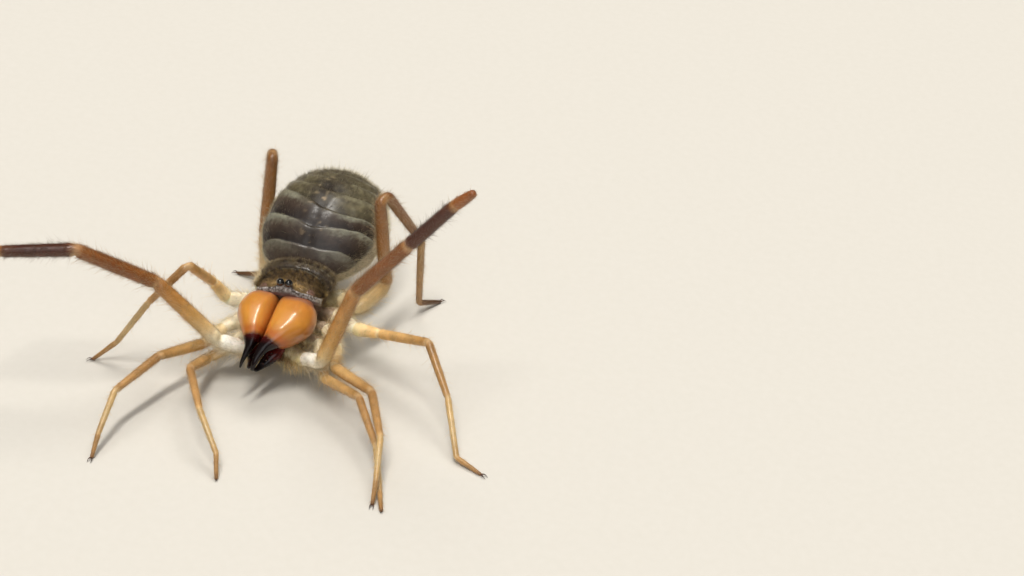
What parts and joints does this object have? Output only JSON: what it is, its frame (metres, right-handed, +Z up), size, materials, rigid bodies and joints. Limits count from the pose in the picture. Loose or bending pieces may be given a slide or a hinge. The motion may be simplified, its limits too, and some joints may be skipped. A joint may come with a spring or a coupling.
{
  "type": "camel spider",
  "caption": "Life-size camel spider standing alert on the floor, palps raised and spread, big amber jaws with black fingers forward, banded swollen abdomen.",
  "frame": {"origin": "middle of the model's base box, on the floor", "axes": "+Z up, -Y the way the animal looks, +X its left side"},
  "size_m": [0.0854, 0.0682, 0.0449],
  "materials": {
    "jaw": "polished amber horn, dark maroon towards the fingers",
    "finger_horn": "glossy black horn",
    "eye": "wet black",
    "back_plate": "dusky tan plate with fine dark hair and a silvery front rim",
    "abdomen_skin": "soft skin with dusky plates and pale grey bands, sparse pale hair",
    "hip_skin": "pale cream skin under a golden hair fringe",
    "palp_skin": "satin brown shell, darker towards the tip, covered in fine hair",
    "leg_skin": "satin tan shell with pale joints and sparse hair"
  },
  "bodies": {
    "root": {"abdomen_front": "abdomen_skin", "abdomen_rear": "abdomen_skin", "chelicera_L": "jaw", "chelicera_R": "jaw", "chelicera_finger_L": "finger_horn", "chelicera_finger_R": "finger_horn", "coxae": "hip_skin", "eye_L": "eye", "eye_R": "eye", "head_shield": "back_plate", "leg1_L_femur": "leg_skin", "leg1_L_metatarsus": "leg_skin", "leg1_L_patella": "leg_skin", "leg1_L_tarsus": "leg_skin", "leg1_L_tibia": "leg_skin", "leg1_R_femur": "leg_skin", "leg1_R_metatarsus": "leg_skin", "leg1_R_patella": "leg_skin", "leg1_R_tarsus": "leg_skin", "leg1_R_tibia": "leg_skin", "leg2_L_femur": "leg_skin", "leg2_L_metatarsus": "leg_skin", "leg2_L_patella": "leg_skin", "leg2_L_tarsus": "leg_skin", "leg2_L_tibia": "leg_skin", "leg2_R_femur": "leg_skin", "leg2_R_metatarsus": "leg_skin", "leg2_R_patella": "leg_skin", "leg2_R_tarsus": "leg_skin", "leg2_R_tibia": "leg_skin", "leg3_L_femur": "leg_skin", "leg3_L_metatarsus": "leg_skin", "leg3_L_patella": "leg_skin", "leg3_L_tarsus": "leg_skin", "leg3_L_tibia": "leg_skin", "leg3_R_femur": "leg_skin", "leg3_R_metatarsus": "leg_skin", "leg3_R_patella": "leg_skin", "leg3_R_tarsus": "leg_skin", "leg3_R_tibia": "leg_skin", "leg4_L_femur": "leg_skin", "leg4_L_metatarsus": "leg_skin", "leg4_L_patella": "leg_skin", "leg4_L_tarsus": "leg_skin", "leg4_L_tibia": "leg_skin", "leg4_R_femur": "leg_skin", "leg4_R_metatarsus": "leg_skin", "leg4_R_patella": "leg_skin", "leg4_R_tarsus": "leg_skin", "leg4_R_tibia": "leg_skin", "palp_L_femur": "palp_skin", "palp_L_metatarsus": "palp_skin", "palp_L_tibia": "palp_skin", "palp_L_trochanter": "palp_skin", "palp_R_femur": "palp_skin", "palp_R_metatarsus": "palp_skin", "palp_R_tibia": "palp_skin", "palp_R_trochanter": "palp_skin", "thorax": "back_plate"}
  },
  "joints": []
}
